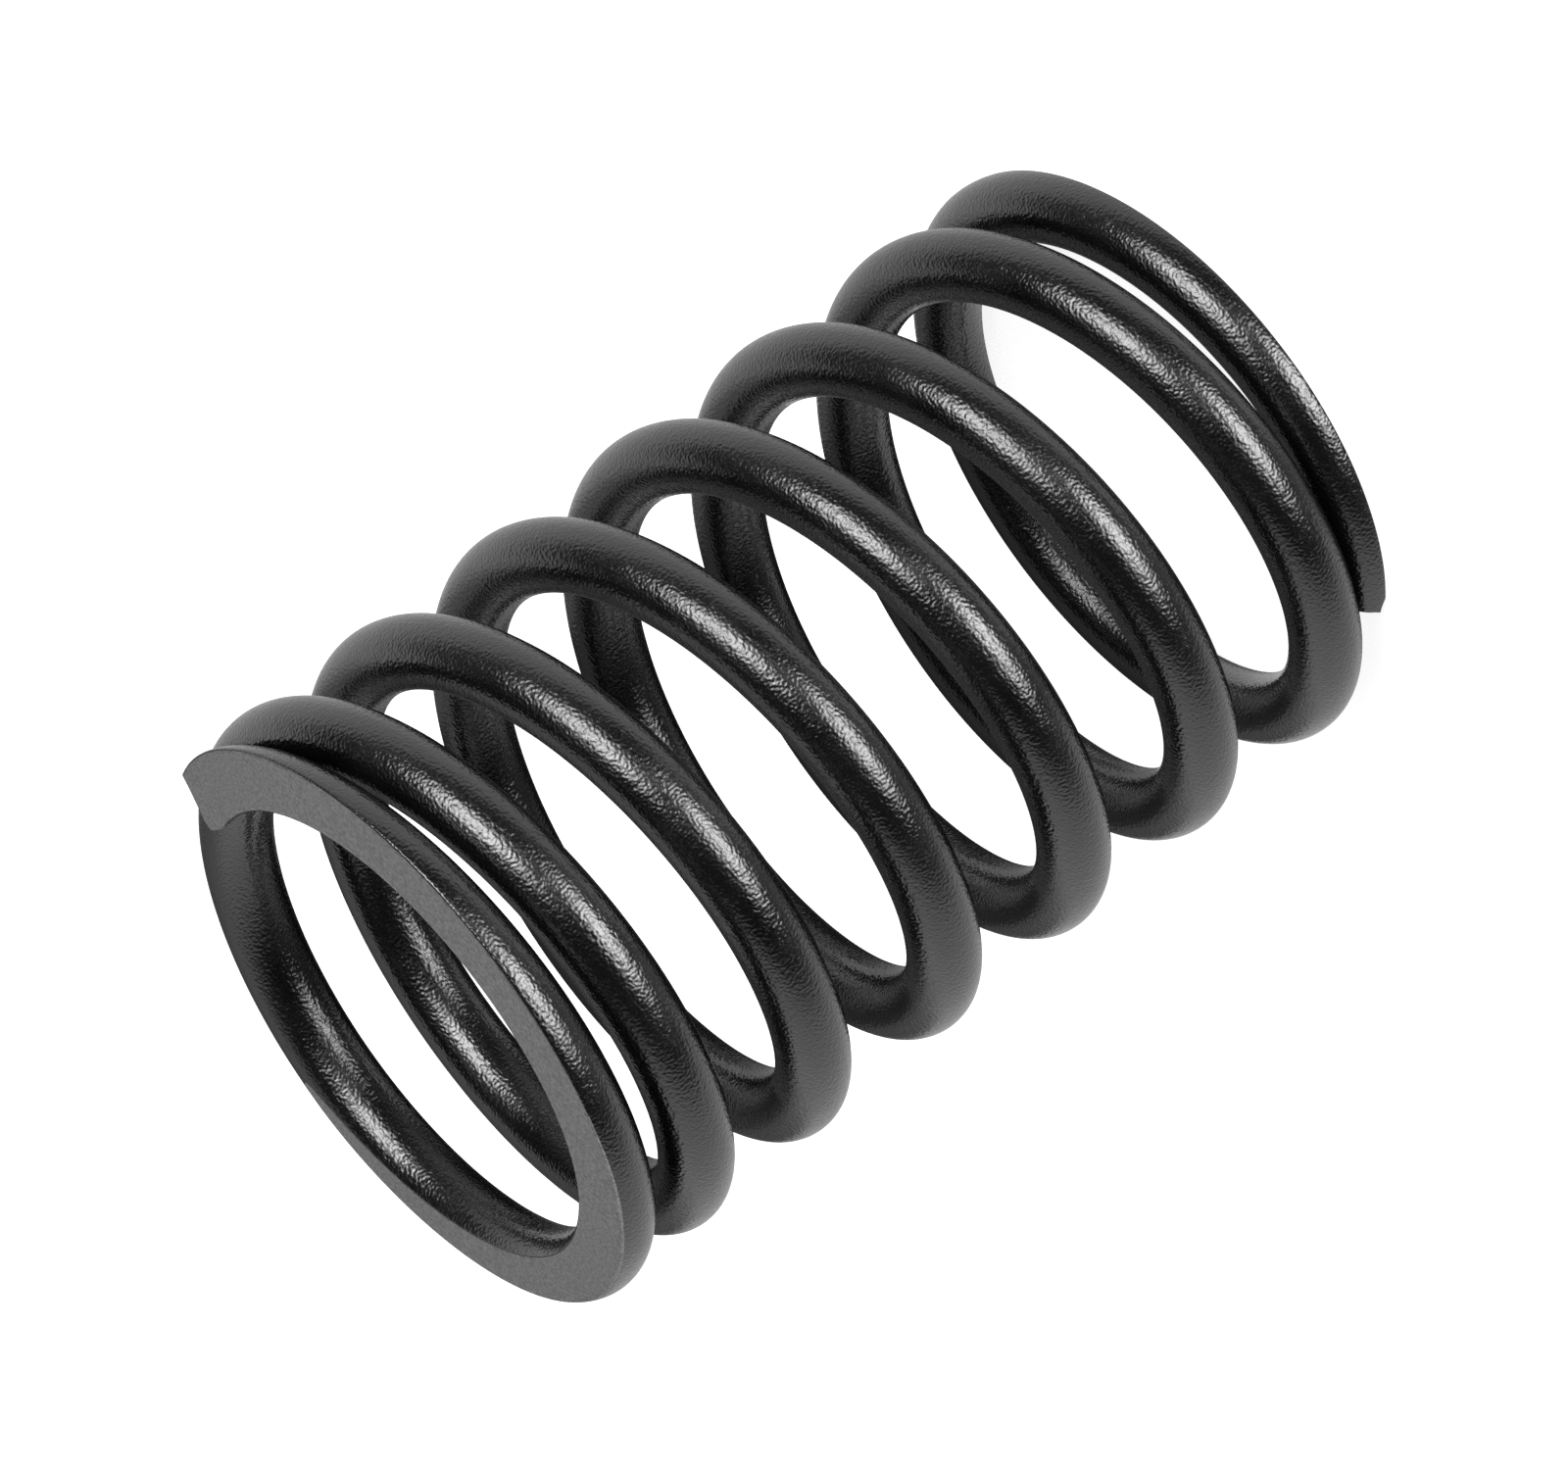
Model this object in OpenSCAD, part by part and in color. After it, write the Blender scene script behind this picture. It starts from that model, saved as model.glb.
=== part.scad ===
// Valve spring: one length of round wire, wound right-handed with its last coils closed,
// and ground flat at both ends. It stands on its bottom end, with +Z up the axis and the
// origin at the centre of the bottom seat. Lengths are in millimetres, and a place along
// the wire is counted in turns, from the bottom tip.

/* [Wire and coil] */
// Diameter of the wire
wire_d = 4; // [3.4:0.1:4.6]
// Mean diameter of the coil, from wire centre to wire centre
mean_d = 31.8; // [27:0.2:40]
// Free length, from the bottom seat to the top one
free_length = 56.9; // [50:0.1:66]
// Number of turns from tip to tip
turns = 7.425; // [6.8:0.005:8.4]
// Direction of the bottom tip, seen from above
bottom_tip_angle = 217; // [0:1:359]
// Clearance between each tip and the coil that it lies against
tip_gap = 0.06; // [0.04:0.01:0.3]
// Slant of the sheared faces at the tips, away from square
shear_angle = 28; // [0:1:35]

/* [Bottom end] */
// Thickness that grinding leaves at the bottom tip
bottom_tip_thick = 1.7; // [1:0.1:2.4]
// Pitch of the wire at the bottom tip
bottom_tip_pitch = 3.8; // [3:0.1:4.4]
// Pitch where the bottom coil lies flattest
bottom_flat_pitch = 0.9; // [0.6:0.1:2]
// Turns from the bottom tip to that place
bottom_flat_turns = 0.53; // [0.45:0.01:0.6]
// How far the bottom tip curls in from the mean diameter
bottom_tip_inset = 0.8; // [0:0.1:0.9]

/* [Top end] */
// Thickness that grinding leaves at the top tip
top_tip_thick = 1.3; // [1:0.1:2.4]
// Pitch of the wire at the top tip
top_tip_pitch = 4.7; // [4:0.1:5.4]
// Turns from the top tip to where the coil lies flattest
top_flat_turns = 0.61; // [0.5:0.01:0.75]
// Pitch one turn from the top tip, where the coils come to stand apart
top_open_pitch = 6.9; // [5.8:0.1:7.6]
// Turns from the top tip to the full pitch
top_even_turns = 2.8; // [2.2:0.1:3.4]
// How far the top tip curls in from the mean diameter
top_tip_inset = 0.3; // [0:0.1:0.9]

/* [Hidden] */

sides = 20;           // sides of the wire's section
steps_per_turn = 40;  // sections along one turn
curl_turns = 0.4;     // length of wire over which a tip curls in
wire_r = wire_d / 2;
mean_r = mean_d / 2;
grind_w = 2 * (mean_d + wire_d); // width of the stock that grinding takes away
grind_h = 2 * wire_d;            // and its height

// The first turn at either end climbs by one wire and the gap at the tip
end_climb = wire_d + tip_gap;
// Height of the wire's centre at the two tips, and the climb between them
bottom_z = bottom_tip_thick - wire_r;
top_z = free_length - top_tip_thick + wire_r;
climb = top_z - bottom_z;

// From one turn below the top tip, the pitch rises evenly to the full pitch
ramp_turns = (top_even_turns - 1) / 2;
full_pitch = (climb - 2 * end_climb - top_open_pitch * ramp_turns)
    / (turns - 1 - top_even_turns + ramp_turns);

// What gives each end's first turn its climb: how flat the top coil lies,
// and how soon the bottom coil comes to the full pitch
top_flat_pitch = 2 * end_climb - top_tip_pitch * top_flat_turns
    - top_open_pitch * (1 - top_flat_turns);
bottom_open_turns = (2 * (full_pitch - end_climb) + (bottom_tip_pitch - full_pitch) * bottom_flat_turns)
    / (full_pitch - bottom_flat_pitch);

// Places along the wire where the pitch has a set value, and that value
places = [0, bottom_flat_turns, bottom_open_turns, turns - top_even_turns,
    turns - 1, turns - top_flat_turns, turns];
pitches = [bottom_tip_pitch, bottom_flat_pitch, full_pitch, full_pitch,
    top_open_pitch, top_flat_pitch, top_tip_pitch];

// Height gained from the bottom tip to each of those places
function span_climb(i) = (pitches[i] + pitches[i + 1]) / 2 * (places[i + 1] - places[i]);
function climb_to(i) = i == 0 ? 0 : climb_to(i - 1) + span_climb(i - 1);
climbs = [for (i = [0 : len(places) - 1]) climb_to(i)];

// Number of the stretch between two places that holds u
function stretch(u, i = 0) = i < len(places) - 2 && u > places[i + 1] ? stretch(u, i + 1) : i;

// Pitch, height, radius and direction of the wire's centre, u turns from the bottom tip
function pitch_at(u) = lookup(u, [for (i = [0 : len(places) - 1]) [places[i], pitches[i]]]);
function height_at(u) = let (i = stretch(u))
    bottom_z + climbs[i] + (pitches[i] + pitch_at(u)) / 2 * (u - places[i]);
function curl(from_tip) = max(0, 1 - from_tip / curl_turns);
function radius_at(u) = mean_r - bottom_tip_inset * curl(u) - top_tip_inset * curl(turns - u);
function angle_at(u) = bottom_tip_angle + 360 * u;

// A tip is sheared on a slant, so that the wire ends sooner on the outside of the coil
function shear(u) = tan(shear_angle) * (u == 0 ? 1 : u == turns ? -1 : 0);

// One section of the wire: a ring of points square to its run, slanted at the tips
function section(u) = let (
        a = angle_at(u),
        out = [cos(a), sin(a), 0],
        run = [-sin(a), cos(a), pitch_at(u) / (2 * PI * radius_at(u))],
        along = run / norm(run),
        up = cross(out, along),
        centre = radius_at(u) * out + [0, 0, height_at(u)])
    [for (k = [0 : sides - 1]) let (x = wire_r * cos(360 * k / sides), y = wire_r * sin(360 * k / sides))
        centre + x * out + y * up + x * shear(u) * along];

steps = ceil(turns * steps_per_turn);
points = [for (s = [0 : steps]) each section(turns * s / steps)];
walls = [for (s = [0 : steps - 1], k = [0 : sides - 1]) let (
        a = s * sides + k,
        b = s * sides + (k + 1) % sides)
    each [[a, a + sides, b], [b, a + sides, b + sides]]];
start_face = [for (k = [0 : sides - 1]) k];
end_face = [for (k = [sides - 1 : -1 : 0]) steps * sides + k];

module wound_wire() {
    polyhedron(points, concat(walls, [start_face, end_face]));
}

// Stock that the grinding takes off one end
module ground_off() {
    translate([-grind_w / 2, -grind_w / 2, 0]) cube([grind_w, grind_w, grind_h]);
}

module spring() {
    color([0.13, 0.13, 0.14]) difference() {
        wound_wire();
        translate([0, 0, free_length]) ground_off();
        translate([0, 0, -grind_h]) ground_off();
    }
}

spring();
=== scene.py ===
# Looks of the valve spring: a fine mesh of the wire, its black coat, and the studio round it.
# The wire is worked out in millimetres, and all else is in metres, in the frame of the part.
import math

import bpy
import numpy as np
from mathutils import Matrix, Vector


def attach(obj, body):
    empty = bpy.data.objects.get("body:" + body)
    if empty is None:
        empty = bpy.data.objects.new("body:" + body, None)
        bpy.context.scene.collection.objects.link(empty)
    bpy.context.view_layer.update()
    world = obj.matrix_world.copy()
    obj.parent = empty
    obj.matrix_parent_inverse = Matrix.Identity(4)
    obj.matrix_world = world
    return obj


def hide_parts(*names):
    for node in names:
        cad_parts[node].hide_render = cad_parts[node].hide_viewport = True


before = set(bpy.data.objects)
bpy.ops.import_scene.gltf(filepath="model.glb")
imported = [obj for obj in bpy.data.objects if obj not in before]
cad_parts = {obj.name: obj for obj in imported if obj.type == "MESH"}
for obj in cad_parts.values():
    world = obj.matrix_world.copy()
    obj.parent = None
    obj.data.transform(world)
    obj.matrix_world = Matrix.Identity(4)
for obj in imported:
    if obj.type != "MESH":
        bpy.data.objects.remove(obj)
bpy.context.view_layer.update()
scene = bpy.context.scene
MM = 0.001

# Camera, placed so that the spring lies in the frame as it does in the photograph
CAM_AT = (0.0, -0.356208, 0.190900)
CAM_RIGHT = (-0.60671, -0.32922, -0.72354)
CAM_UP = (0.79492, -0.25062, -0.55253)
CAM_BACK = (0.000564, -0.910385, 0.413761)
CAM_TURN = Matrix((CAM_RIGHT, CAM_UP, CAM_BACK)).transposed()
LENS_MM, SENSOR_MM = 167.67, 36.0

# The run of the wire, with the values of the part's source
WIRE_D, MEAN_D, LENGTH, TURNS = 4.0, 31.8, 56.9, 7.425
TIP_ANGLE, TIP_GAP = 217.0, 0.06
BOTTOM_THICK, TOP_THICK = 1.7, 1.3
BOTTOM_TIP_PITCH, BOTTOM_FLAT_PITCH, BOTTOM_FLAT_TURNS = 3.8, 0.9, 0.53
TOP_TIP_PITCH, TOP_FLAT_TURNS, TOP_OPEN_PITCH, TOP_EVEN_TURNS = 4.7, 0.61, 6.9, 2.8
BOTTOM_INSET, TOP_INSET, CURL_TURNS = 0.8, 0.3, 0.4

# What follows from those values, as in the part's source
WIRE_R = WIRE_D / 2
AROUND = math.pi * MEAN_D
END_CLIMB = WIRE_D + TIP_GAP
BOTTOM_Z = BOTTOM_THICK - WIRE_R
TOP_Z = LENGTH - TOP_THICK + WIRE_R
RAMP = (TOP_EVEN_TURNS - 1) / 2
FULL_PITCH = ((TOP_Z - BOTTOM_Z - 2 * END_CLIMB - TOP_OPEN_PITCH * RAMP)
              / (TURNS - 1 - TOP_EVEN_TURNS + RAMP))
TOP_FLAT_PITCH = (2 * END_CLIMB - TOP_TIP_PITCH * TOP_FLAT_TURNS
                  - TOP_OPEN_PITCH * (1 - TOP_FLAT_TURNS))
BOTTOM_OPEN = ((2 * (FULL_PITCH - END_CLIMB) + (BOTTOM_TIP_PITCH - FULL_PITCH) * BOTTOM_FLAT_TURNS)
               / (FULL_PITCH - BOTTOM_FLAT_PITCH))
PLACES = np.array([0, BOTTOM_FLAT_TURNS, BOTTOM_OPEN, TURNS - TOP_EVEN_TURNS,
                   TURNS - 1, TURNS - TOP_FLAT_TURNS, TURNS])
PITCHES = np.array([BOTTOM_TIP_PITCH, BOTTOM_FLAT_PITCH, FULL_PITCH, FULL_PITCH,
                    TOP_OPEN_PITCH, TOP_FLAT_PITCH, TOP_TIP_PITCH])
CLIMBS = np.concatenate([[0], np.cumsum((PITCHES[1:] + PITCHES[:-1]) / 2 * np.diff(PLACES))])

# What the real spring has besides
LONGER = 0.012        # turns by which the bottom tip goes on past the one in the part's source
SAG_AT = 5.665        # turns from the bottom tip to where a coil lies lower, at its back
SAG_TURNS = 0.2       # turns to either side over which it does
SAG = 0.14            # and how much lower it lies
LEAN = math.tan(math.radians(0.5))  # slope of the top face, which lies higher at the front
LEAN_TURNS = 1.2      # turns from the top tip to where the wire starts to lean with it
LEAN_FADE = 0.3       # turns over which the lean comes in

# The broken edges and the rims of the ground faces, and the slant of the tips
OUTER_EDGE, INNER_EDGE, TIP_EDGE = 0.12, 0.06, 0.05  # widths of the broken edges
WORN_EDGE = 0.22      # width of the top's inner edge at the tip
WORN_RUN = 12.0       # length of wire over which that edge sharpens
RIM = 0.2             # width of a face's uneven rim
LARGEST_SHARE = 5     # an edge or rim takes at most one part in so many of half the face's width
DULL_FROM = 0.37      # turns from the top tip to where the outer edge turns dull
THIN_SHARE = 0.2      # share of its width that the outer edge keeps there
THIN_TURNS = 0.05     # turns along which it widens by its whole width
SLANT_RUN = 2.5       # length of wire over which the slant of a tip fades away
NARROWEST = math.radians(4)  # half the angle that the narrowest ground face takes in the section

# The top tip: how far it ends short of square, at places from its inner side to its outer one
TOP_TIP_ACROSS = (-2.0, -1.87, -1.6, -1.3, -1.05, -0.85, -0.4, 0.2, 2.0)
TOP_TIP_SHORT = (1.7, 1.4, 0.3, -0.6, -1.0, -1.05, -0.78, -0.12, 1.07)
# The bottom tip: how far it reaches past square, at places along a slanted line across it
LOW_TIP_LINE = (0.725, -0.688)
LOW_TIP_ACROSS = (-0.3, 0.05, 0.57, 0.86, 0.98, 1.22)
LOW_TIP_REACH = (0.0, 0.07, 0.18, 0.35, -0.3, -0.85)

# The mesh: rings of points along the wire
RINGS = 1340
SIDES = 62            # points of one ring
FLAT_SIDES = 16       # those of them that a ground face takes
ROUNDING = 3          # and those between the face and the round side, at either edge
SPREAD_FROM, SPREAD_TO = 1.0, 1.5  # heights of the face, in wire radii, between which a ring turns even

# The coat, and the duller finish of the ground faces
COAT_DARK, COAT_PALE = (0.0008, 0.0008, 0.0008, 1), (0.0024, 0.0024, 0.0025, 1)
GROUND_DARK, GROUND_PALE = (0.08, 0.08, 0.0805, 1), (0.185, 0.185, 0.186, 1)
COAT_ROUGHNESS, GROUND_ROUGHNESS = (0.22, 0.29), (0.36, 0.44)
COAT_IOR, GROUND_IOR = 1.75, 1.9
DIMPLE_DEPTH, GRAIN_DEPTH, BURR_DEPTH = 3.7e-5, 1.6e-5, 6e-5
NOISE_MIDDLE = (0.3, 0.7)  # values between which most of a noise lies
BURRS_ABOVE = (0.5, 0.62)  # values of the noise over which the burrs of a rim rise

# Lamps: widths of their parts, and the parts' shares of the radiance
LAMP_PARTS = ((1.36, 0.32), (0.87, 0.45), (0.45, 0.62))
LAMP_DISTANCE = 0.6   # from the middle of the spring
LAMP_STEP = 0.001     # from one part of a lamp to the next

# The light tent round the spring, which reflections see, with directions in the camera's axes
TENT_LIGHT = 0.88
OPENING_FLATTER, OPENING_WIDER = 0.27, 0.2  # how the dark opening round the lens departs from a circle
OPENING_LEFT = (-0.985, 0.174, 0)
GAP_ALONG, GAP_ACROSS = (0.725, 0.688, 0), (-0.688, 0.725, 0)
GAP_NARROWING = 1.67  # how soon the gap narrows towards its middle, straight behind the spring
STRIP_ACROSS = (-0.309, 0.951, 0)
BOARD_TOWARD = (0.07, 0.36, 0.93)
BOARD_LIGHT = 0.32
DEEPEST_RAY = 2.5     # rays that reach the tent past this depth are reflections within a reflection
DIFFUSE_LIGHT = 0.35

# The floor, and a half-dark sheet behind the spring: painted shade in the reflections of its inner side
FLOOR_HALF, FLOOR_TONE, FLOOR_LIGHT = 1.5, 0.8, 0.82
SHADE_LEFT, SHADE_RIGHT, SHADE_TOP, SHADE_BACK = -0.017, 0.013, 0.049, 0.021
SHADE_HIDES, SHADE_REACH = 0.65, 0.025  # share of the light that it stops, for rays of up to this length


def make_camera():
    """The camera of the photograph."""
    data = bpy.data.cameras.new("camera")
    data.sensor_width = SENSOR_MM
    data.lens = LENS_MM
    data.clip_start = 0.01
    data.clip_end = 20
    camera = bpy.data.objects.new("camera", data)
    scene.collection.objects.link(camera)
    camera.matrix_world = Matrix.Translation(CAM_AT) @ CAM_TURN.to_4x4()
    scene.camera = camera


def axes_at(u):
    """Centre of the wire u turns from the bottom tip, and its outward, forward and upward directions."""
    i = max(0, min(int(np.searchsorted(PLACES, u, side="right")) - 1, len(PLACES) - 2))
    pitch = float(np.interp(u, PLACES, PITCHES))
    z = BOTTOM_Z + CLIMBS[i] + (PITCHES[i] + pitch) / 2 * (u - PLACES[i])
    z -= SAG * (1 + math.cos(math.pi * min(1, abs(u - SAG_AT) / SAG_TURNS))) / 2
    radius = (MEAN_D / 2 - BOTTOM_INSET * max(0, 1 - u / CURL_TURNS)
              - TOP_INSET * max(0, 1 - (TURNS - u) / CURL_TURNS))
    a = math.radians(TIP_ANGLE + 360 * u)
    out = np.array([math.cos(a), math.sin(a), 0])
    along = np.array([-math.sin(a), math.cos(a), pitch / (2 * math.pi * radius)])
    along /= np.linalg.norm(along)
    return radius * out + np.array([0, 0, z]), out, along, np.cross(out, along)


def on_wire(angles):
    """Points of the round section at the given angles from its top, outwards."""
    return WIRE_R * np.column_stack([np.sin(angles), np.cos(angles)])


def rounded(flat_end, corner, side_end):
    """Points of a broken edge, between the end of the flat and the start of the round side."""
    t = (np.arange(ROUNDING) + 1)[:, None] / (ROUNDING + 1)
    return (1 - t) ** 2 * flat_end + 2 * t * (1 - t) * corner + t ** 2 * side_end


def ring_shape(height, outer_edge, inner_edge):
    """One ring with its flat at that height: its points, which of them are on a rim, and if it is cut."""
    edge_angle = max(NARROWEST, math.acos(max(-1, min(1, height / WIRE_R))))
    half = WIRE_R * math.sin(edge_angle)
    outer, inner, rim = (min(width, half / LARGEST_SHARE) for width in (outer_edge, inner_edge, RIM))
    x = np.concatenate([[inner - half],
                        np.linspace(inner + rim - half, half - outer - rim, FLAT_SIDES - 2),
                        [half - outer]])
    side = np.linspace(edge_angle + outer / WIRE_R, 2 * math.pi - edge_angle - inner / WIRE_R,
                       SIDES - FLAT_SIDES - 2 * ROUNDING)
    if height < WIRE_R * math.cos(NARROWEST):
        worn = np.ones(SIDES)
        worn[1:FLAT_SIDES - 1] = 0
        worn[FLAT_SIDES + ROUNDING:SIDES - ROUNDING] = 0
        flat = np.column_stack([x, np.full(FLAT_SIDES, height)])
        round_side = on_wire(side)
        outer_round = rounded(flat[-1], np.array([half, height]), round_side[0])
        inner_round = rounded(round_side[-1], np.array([-half, height]), flat[0])
        return np.concatenate([flat, outer_round, round_side, inner_round]), worn, True
    # the points spread out evenly as the wire leaves the ground face
    keep = max(0.0, min(1.0, (SPREAD_TO - height / WIRE_R) / (SPREAD_TO - SPREAD_FROM)))
    flat = np.arcsin(x / WIRE_R)
    gaps = np.linspace(0, 1, ROUNDING + 2)[1:-1]
    close = np.concatenate([flat, flat[-1] + gaps * (side[0] - flat[-1]), side,
                            side[-1] + gaps * (2 * math.pi + flat[0] - side[-1])])
    even = (np.arange(SIDES) - (FLAT_SIDES - 1) / 2) * 2 * math.pi / SIDES
    return on_wire(keep * close + (1 - keep) * even), np.zeros(SIDES), False


def tip_shift(shape, top, from_tip):
    """How far the points of a ring lie forward of square, near the slanted face of a tip."""
    if top:
        shift = -np.interp(shape[:, :1], TOP_TIP_ACROSS, TOP_TIP_SHORT)
    else:
        shift = -np.interp(shape @ LOW_TIP_LINE, LOW_TIP_ACROSS, LOW_TIP_REACH)[:, None]
    return shift * max(0, 1 - from_tip / SLANT_RUN)


def ring_at(u, at_end):
    """The ring u turns from the bottom tip: its points, which are on a rim, and if the ring is cut."""
    centre, out, along, up = axes_at(u)
    top = u > TURNS / 2
    from_tip = (TURNS - u if top else u + LONGER) * AROUND
    lean = LEAN * max(0, min(1, (u - TURNS + LEAN_TURNS) / LEAN_FADE))
    # the outer edge is thinnest where its finish changes
    outer_edge = OUTER_EDGE * min(1, THIN_SHARE + abs(TURNS - DULL_FROM - u) / THIN_TURNS)
    inner_edge = INNER_EDGE + (WORN_EDGE - INNER_EDGE) * max(0, 1 - from_tip / WORN_RUN) * top
    height = (LENGTH - lean * centre[1] - centre[2] if top else centre[2]) / up[2]
    shape, worn, cut = ring_shape(height, outer_edge, inner_edge)
    if not top:
        # the bottom's rings are the same, turned over
        turned_over = (FLAT_SIDES - 1 - np.arange(SIDES)) % SIDES
        shape = np.roll(shape[turned_over] * (1, -1), SIDES // 2, axis=0)
        worn = np.roll(worn[turned_over], SIDES // 2)
    if at_end:
        # the end ring is drawn in, for the broken edge round the tip's face
        middle = (shape.min(axis=0) + shape.max(axis=0)) / 2
        shape = middle + (shape - middle) * (1 - TIP_EDGE / WIRE_R)
    if from_tip < 2 * TIP_EDGE:
        worn = np.ones(SIDES)
    ring = centre + shape[:, :1] * out + shape[:, 1:] * up + tip_shift(shape, top, from_tip) * along
    # the ring tilts with the top face, and no point of it stands out of either face
    ring[:, 2] -= lean * (ring[:, 1] - centre[1])
    ring[:, 2] = np.minimum(ring[:, 2], LENGTH - lean * ring[:, 1]).clip(0)
    return ring, worn, cut


def make_wire():
    """The whole wire as one closed mesh, with flat ground faces and slanted tips."""
    # rings lie close together at the tips, for the broken edges there
    near = np.array([TIP_EDGE, 2 * TIP_EDGE, RIM, 2 * RIM]) / AROUND
    turns = np.unique(np.concatenate([np.linspace(-LONGER, TURNS, RINGS), near - LONGER, TURNS - near]))
    rings = [ring_at(u, at_end=u in (turns[0], turns[-1])) for u in turns]
    points, rims, cuts = zip(*rings)
    faces, ground, smooth = [], [], []
    for i, u in enumerate(turns[:-1]):
        top = u > TURNS / 2
        flat_cut = cuts[i] and cuts[i + 1]
        # away from the tip, the top face's duller finish takes in its broken outer edge
        dull = FLAT_SIDES + ROUNDING if top and u <= TURNS - DULL_FROM else FLAT_SIDES - 1
        a, b = i * SIDES, (i + 1) * SIDES
        for j in range(SIDES):
            k = (j + 1) % SIDES
            faces.append((a + j, a + k, b + k, b + j))
            spot = j if top else (j - SIDES // 2) % SIDES
            ground.append(1 if flat_cut and spot < dull else 0)
            smooth.append(not (flat_cut and spot < FLAT_SIDES - 1))
    faces.append(tuple(range(SIDES))[::-1])
    faces.append(tuple((len(turns) - 1) * SIDES + j for j in range(SIDES)))
    ground += [0, 0]
    smooth += [False, False]
    mesh = bpy.data.meshes.new("spring_wire")
    mesh.from_pydata((np.concatenate(points) * MM).tolist(), [], faces)
    mesh.validate()
    mesh.polygons.foreach_set("use_smooth", smooth)
    mesh.polygons.foreach_set("material_index", ground)
    rim = mesh.attributes.new("rim", "FLOAT", "POINT")
    rim.data.foreach_set("value", np.concatenate(rims))
    mesh.update()
    wire = bpy.data.objects.new("spring_wire", mesh)
    scene.collection.objects.link(wire)
    return wire


class Tree:
    """The nodes of a material or of the world. Inputs are numbers, or outputs of other nodes."""

    def __init__(self, owner):
        owner.use_nodes = True
        self.nodes = owner.node_tree.nodes
        self.links = owner.node_tree.links

    def put(self, value, socket):
        """Set a socket to a number or a colour, or link it to an output."""
        if isinstance(value, bpy.types.NodeSocket):
            self.links.new(value, socket)
        else:
            socket.default_value = value

    def node(self, kind, inputs):
        """A new node with the given inputs."""
        node = self.nodes.new(kind)
        for name, value in inputs.items():
            self.put(value, node.inputs[name])
        return node

    def math(self, operation, *values):
        node = self.node("ShaderNodeMath", dict(enumerate(values)))
        node.operation = operation
        return node.outputs[0]

    def plus(self, a, b):
        return self.math("ADD", a, b)

    def times(self, a, b):
        return self.math("MULTIPLY", a, b)

    def less(self, part):
        """What a part leaves of the whole."""
        return self.plus(self.times(part, -1.0), 1.0)

    def spread(self, value, start, end, low=0.0, high=1.0, kind="LINEAR"):
        """The value, spread from low at the start to high at the end."""
        node = self.node("ShaderNodeMapRange", {"Value": value, "From Min": start, "From Max": end,
                                                "To Min": low, "To Max": high})
        node.interpolation_type = kind
        return node.outputs["Result"]

    def fade(self, value, start, end, low=0.0, high=1.0):
        """The same, with soft ends."""
        return self.spread(value, start, end, low, high, "SMOOTHSTEP")

    def noise(self, place, scale, detail, roughness):
        node = self.node("ShaderNodeTexNoise", {"Vector": place, "Scale": scale, "Detail": detail,
                                                "Roughness": roughness})
        return node.outputs["Fac"]

    def bump(self, height, distance, before=None):
        """The direction of the surface with its bumps, over those that it had before."""
        node = self.node("ShaderNodeBump", {"Distance": distance, "Height": height})
        if before is not None:
            self.put(before, node.inputs["Normal"])
        return node.outputs["Normal"]

    def tone(self, share, dark, pale):
        """A colour between dark and pale."""
        node = self.nodes.new("ShaderNodeMix")
        node.data_type = "RGBA"
        for i, value in ((0, share), (6, dark), (7, pale)):
            self.put(value, node.inputs[i])
        return node.outputs[2]


def new_material(name):
    """A new material, its nodes and the inputs of its shader."""
    material = bpy.data.materials.new(name)
    tree = Tree(material)
    return material, tree, tree.nodes["Principled BSDF"].inputs


def coat_material():
    """Black coat over shot-peened wire: fine dimples that break up the highlights."""
    material, tree, shader = new_material("black_coat")
    place = tree.nodes.new("ShaderNodeTexCoord").outputs["Object"]
    dimples = tree.noise(place, scale=5600, detail=0.3, roughness=0.5)
    patches = tree.noise(place, scale=260, detail=3, roughness=0.6)
    tree.put(tree.bump(dimples, DIMPLE_DEPTH), shader["Normal"])
    tree.put(tree.spread(patches, *NOISE_MIDDLE, *COAT_ROUGHNESS), shader["Roughness"])
    tree.put(tree.tone(patches, COAT_DARK, COAT_PALE), shader["Base Color"])
    tree.put(COAT_IOR, shader["IOR"])
    return material


def ground_material():
    """The ground end faces: the same coat, flatter and duller, with an uneven rim."""
    material, tree, shader = new_material("ground_face")
    place = tree.nodes.new("ShaderNodeTexCoord").outputs["Object"]
    grain = tree.noise(place, scale=5200, detail=2, roughness=0.6)
    patches = tree.noise(place, scale=420, detail=3, roughness=0.6)
    burrs = tree.noise(place, scale=2100, detail=2, roughness=0.6)
    rim = tree.nodes.new("ShaderNodeAttribute")
    rim.attribute_name = "rim"
    worn = tree.times(rim.outputs["Fac"], tree.spread(burrs, *BURRS_ABOVE))
    flat = tree.bump(grain, GRAIN_DEPTH)
    tree.put(tree.bump(worn, BURR_DEPTH, before=flat), shader["Normal"])
    tree.put(tree.spread(patches, *NOISE_MIDDLE, *GROUND_ROUGHNESS), shader["Roughness"])
    tree.put(tree.tone(tree.spread(grain, *NOISE_MIDDLE), GROUND_DARK, GROUND_PALE), shader["Base Color"])
    tree.put(GROUND_IOR, shader["IOR"])
    return material


def from_camera_axes(toward):
    """The direction in the part's frame of one given in the camera's axes: right, up and back."""
    return (CAM_TURN @ Vector(toward)).normalized()


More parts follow.
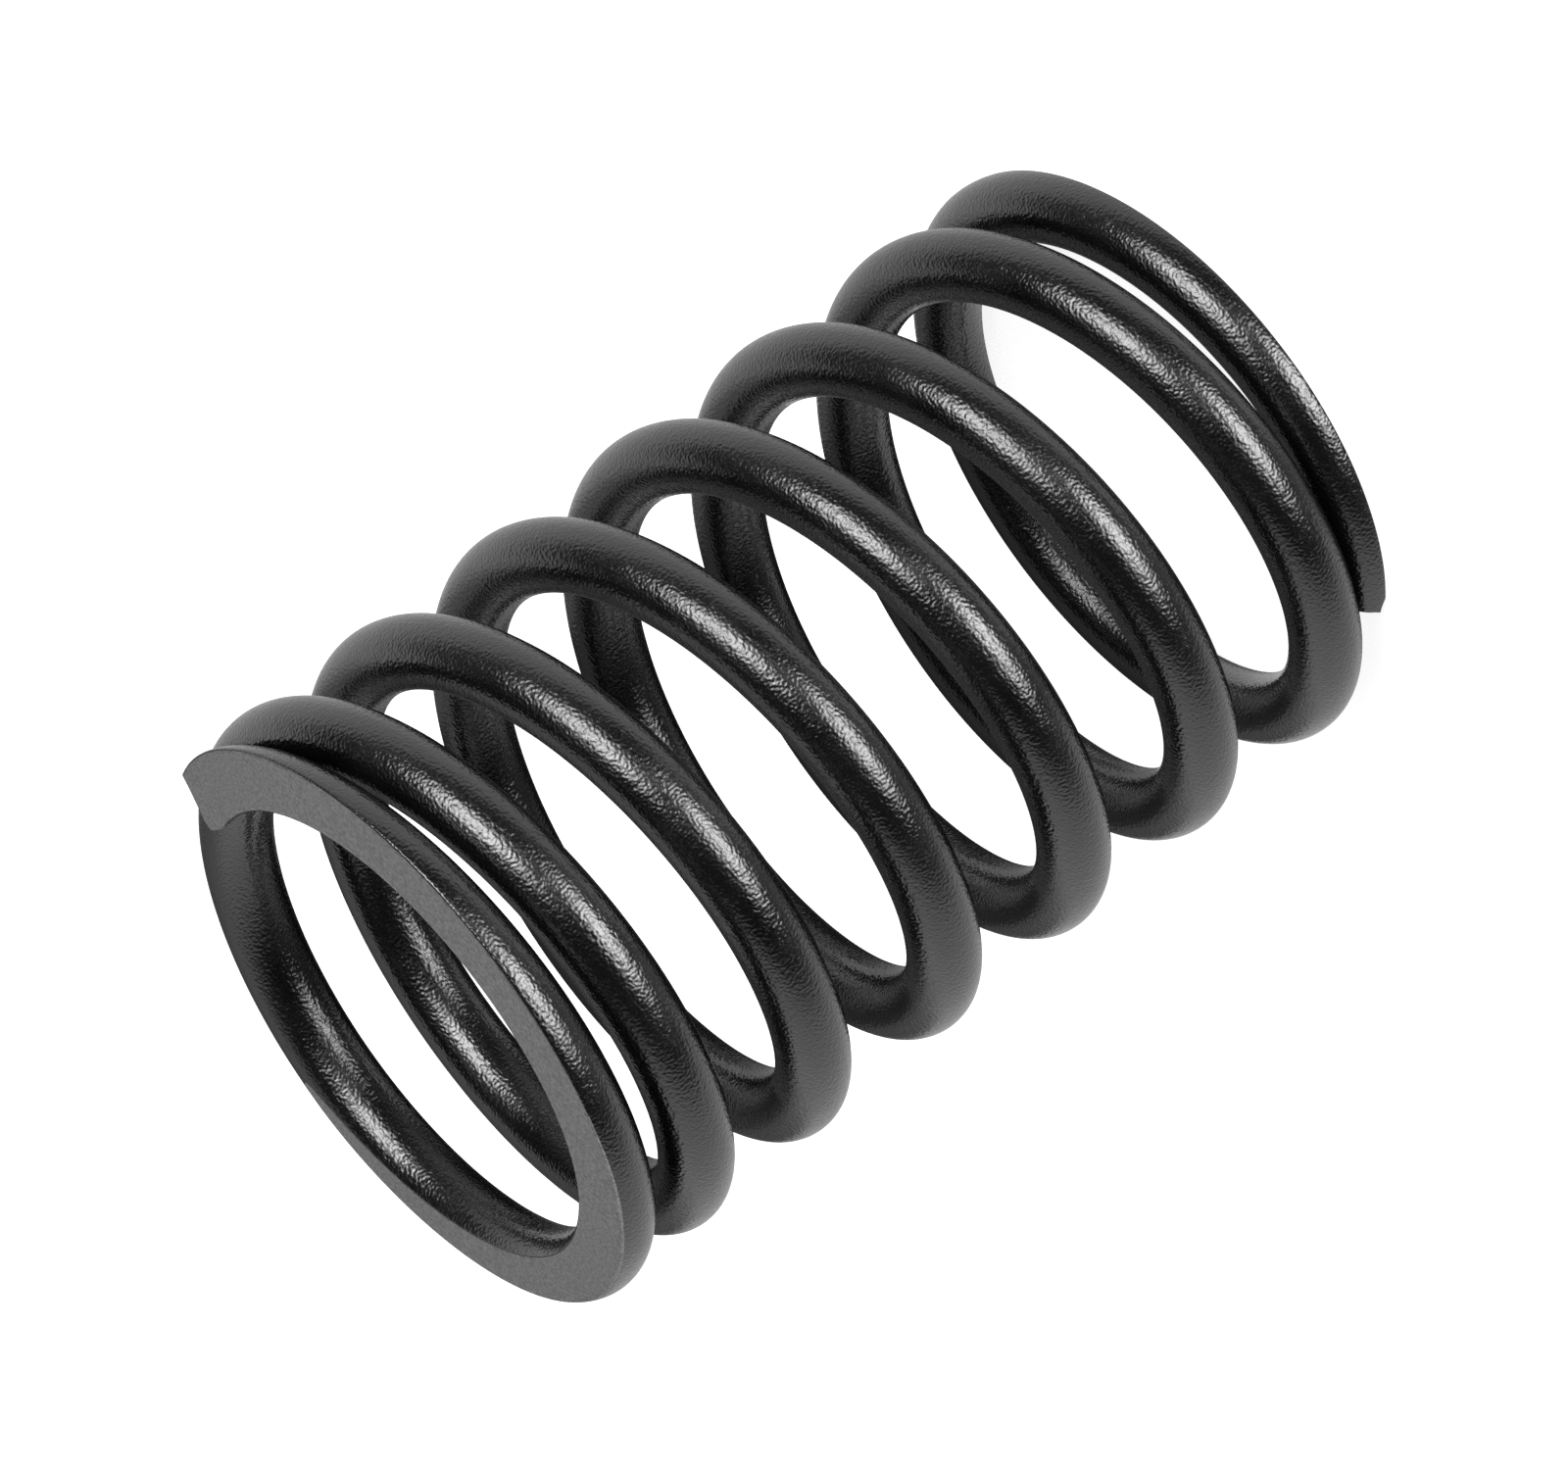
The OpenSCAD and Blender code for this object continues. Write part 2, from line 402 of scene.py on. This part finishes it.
def lamp(name, toward, radius, radiance):
    """A round soft box, brighter in its middle, in the given direction in the camera's axes."""
    direction = from_camera_axes(toward)
    for part, (width, share) in enumerate(LAMP_PARTS):
        data = bpy.data.lights.new(name + str(part), "AREA")
        data.shape = "DISK"
        data.size = 2 * radius * width
        area = math.pi * (radius * width) ** 2
        data.energy = share * radiance * math.pi * area
        lamp_object = bpy.data.objects.new(name + str(part), data)
        scene.collection.objects.link(lamp_object)
        lamp_object.location = (Vector((0, 0, LENGTH * MM / 2))
                                + direction * (LAMP_DISTANCE + part * LAMP_STEP))
        lamp_object.rotation_euler = direction.to_track_quat("Z", "Y").to_euler()
        lamp_object.visible_camera = False


def make_world():
    """White all round, as in a light tent, but for the dark openings before and behind the spring."""
    world = bpy.data.worlds.new("studio")
    scene.world = world
    tree = Tree(world)
    plus, times, fade = tree.plus, tree.times, tree.fade
    place = tree.nodes.new("ShaderNodeTexCoord").outputs["Generated"]

    def part_along(axis):
        """The cosine of the angle between a ray and an axis."""
        node = tree.node("ShaderNodeVectorMath", {0: place, 1: axis})
        node.operation = "DOT_PRODUCT"
        return node.outputs["Value"]

    back, right, up = part_along(CAM_BACK), part_along(CAM_RIGHT), part_along(CAM_UP)
    # the opening round the lens is flatter and wider than a circle, and wider still at the left
    left = fade(part_along(from_camera_axes(OPENING_LEFT)), start=0.75, end=1.0, high=0.14)
    flatter = times(times(up, up), -OPENING_FLATTER)
    wider = times(times(right, right), OPENING_WIDER)
    opening = plus(plus(back, flatter), plus(wider, left))
    tent = fade(opening, start=0.44, end=-0.18, high=TENT_LIGHT)
    # a dark gap in the tent runs from the lower left of the lens, behind the spring, to its upper right
    aside = tree.math("SQRT", tree.less(times(back, back)))
    across = part_along(from_camera_axes(GAP_ACROSS))
    across = tree.math("DIVIDE", across, tree.math("MINIMUM", times(aside, GAP_NARROWING), 1.0))
    low_part = fade(part_along(from_camera_axes(GAP_ALONG)), start=0.1, end=-0.3)
    low_edge = fade(across, start=-0.47, end=0.04)
    low_dark = fade(back, start=-0.3, end=-0.78, low=0.38, high=0.75)
    low_side = times(low_part, times(low_edge, low_dark))
    high_edge = fade(across, start=-0.52, end=-0.33)
    high_side = times(high_edge, fade(back, start=-0.6, end=-0.83, high=0.86))
    gap = times(fade(across, start=0.52, end=0.28), tree.math("MAXIMUM", low_side, high_side))
    # a half-dark strip at the right
    strip = part_along(from_camera_axes(STRIP_ACROSS))
    strip = fade(times(strip, strip), start=0.06, end=0.0, high=0.62)
    strip = times(strip, fade(back, start=0.12, end=-0.15))
    strip = times(strip, fade(right, start=0.2, end=0.5))
    behind = times(tree.less(gap), tree.less(strip))
    # a weak reflector above the lens
    board = fade(part_along(from_camera_axes(BOARD_TOWARD)), start=0.93, end=0.995, high=BOARD_LIGHT)
    path = tree.nodes.new("ShaderNodeLightPath").outputs
    # a reflection within a reflection stays black
    once = tree.math("LESS_THAN", path["Ray Depth"], DEEPEST_RAY)
    glossy = times(times(plus(times(tent, behind), board), path["Is Glossy Ray"]), once)
    # the camera sees plain white
    seen = plus(path["Is Camera Ray"], path["Is Transmission Ray"])
    total = plus(plus(glossy, seen), times(path["Is Diffuse Ray"], DIFFUSE_LIGHT))
    background = tree.nodes["Background"].inputs
    tree.put((1, 1, 1, 1), background["Color"])
    tree.put(total, background["Strength"])
    world.cycles.sampling_method = "NONE"


def four_corners(name, corners):
    """A flat piece of the studio."""
    mesh = bpy.data.meshes.new(name)
    mesh.from_pydata(corners, [], [(0, 1, 2, 3)])
    flat = bpy.data.objects.new(name, mesh)
    scene.collection.objects.link(flat)
    return flat


def make_floor():
    """A floor as white to the camera as the background, which reflections don't show."""
    s = FLOOR_HALF
    floor = four_corners("floor", [(-s, -s, 0), (s, -s, 0), (s, s, 0), (-s, s, 0)])
    floor.visible_glossy = False
    floor.visible_shadow = False
    material, tree, shader = new_material("floor_white")
    tree.put((FLOOR_TONE, FLOOR_TONE, FLOOR_TONE, 1), shader["Base Color"])
    tree.put(0.9, shader["Roughness"])
    tree.put(0, shader["Specular IOR Level"])
    tree.put((1, 1, 1, 1), shader["Emission Color"])
    seen = tree.nodes.new("ShaderNodeLightPath").outputs["Is Camera Ray"]
    tree.put(tree.times(seen, FLOOR_LIGHT), shader["Emission Strength"])
    floor.data.materials.append(material)


def make_painted_shade():
    """Painted shade: a half-dark sheet close behind the spring, which only the reflections of its inner side
    show, and which darkens them.
    """
    shade = four_corners("shade", [(SHADE_LEFT, SHADE_BACK, 0), (SHADE_RIGHT, SHADE_BACK, 0),
                                   (SHADE_RIGHT, SHADE_BACK, SHADE_TOP), (SHADE_LEFT, SHADE_BACK, SHADE_TOP)])
    for rays in ("camera", "diffuse", "transmission", "shadow"):
        setattr(shade, "visible_" + rays, False)
    material, tree, shader = new_material("painted_shade_sheet")
    tree.put((0, 0, 0, 1), shader["Base Color"])
    tree.put(0, shader["Specular IOR Level"])
    length = tree.nodes.new("ShaderNodeLightPath").outputs["Ray Length"]
    close = tree.math("LESS_THAN", length, SHADE_REACH)
    tree.put(tree.times(close, SHADE_HIDES), shader["Alpha"])
    shade.data.materials.append(material)


make_camera()
wire = make_wire()
wire.data.materials.append(coat_material())
wire.data.materials.append(ground_material())
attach(wire, "root")
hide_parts("spring")

lamp("lamp_left", toward=(-0.53, 0.178, 0.829), radius=0.19, radiance=9.6)
lamp("lamp_right", toward=(0.645, 0.146, 0.75), radius=0.2, radiance=9.5)
make_world()
make_floor()
make_painted_shade()
scene.view_settings.view_transform = "Standard"
# the grain of the coat is as fine as the picture's noise, and smoothing would take both away
scene.cycles.use_denoising = False
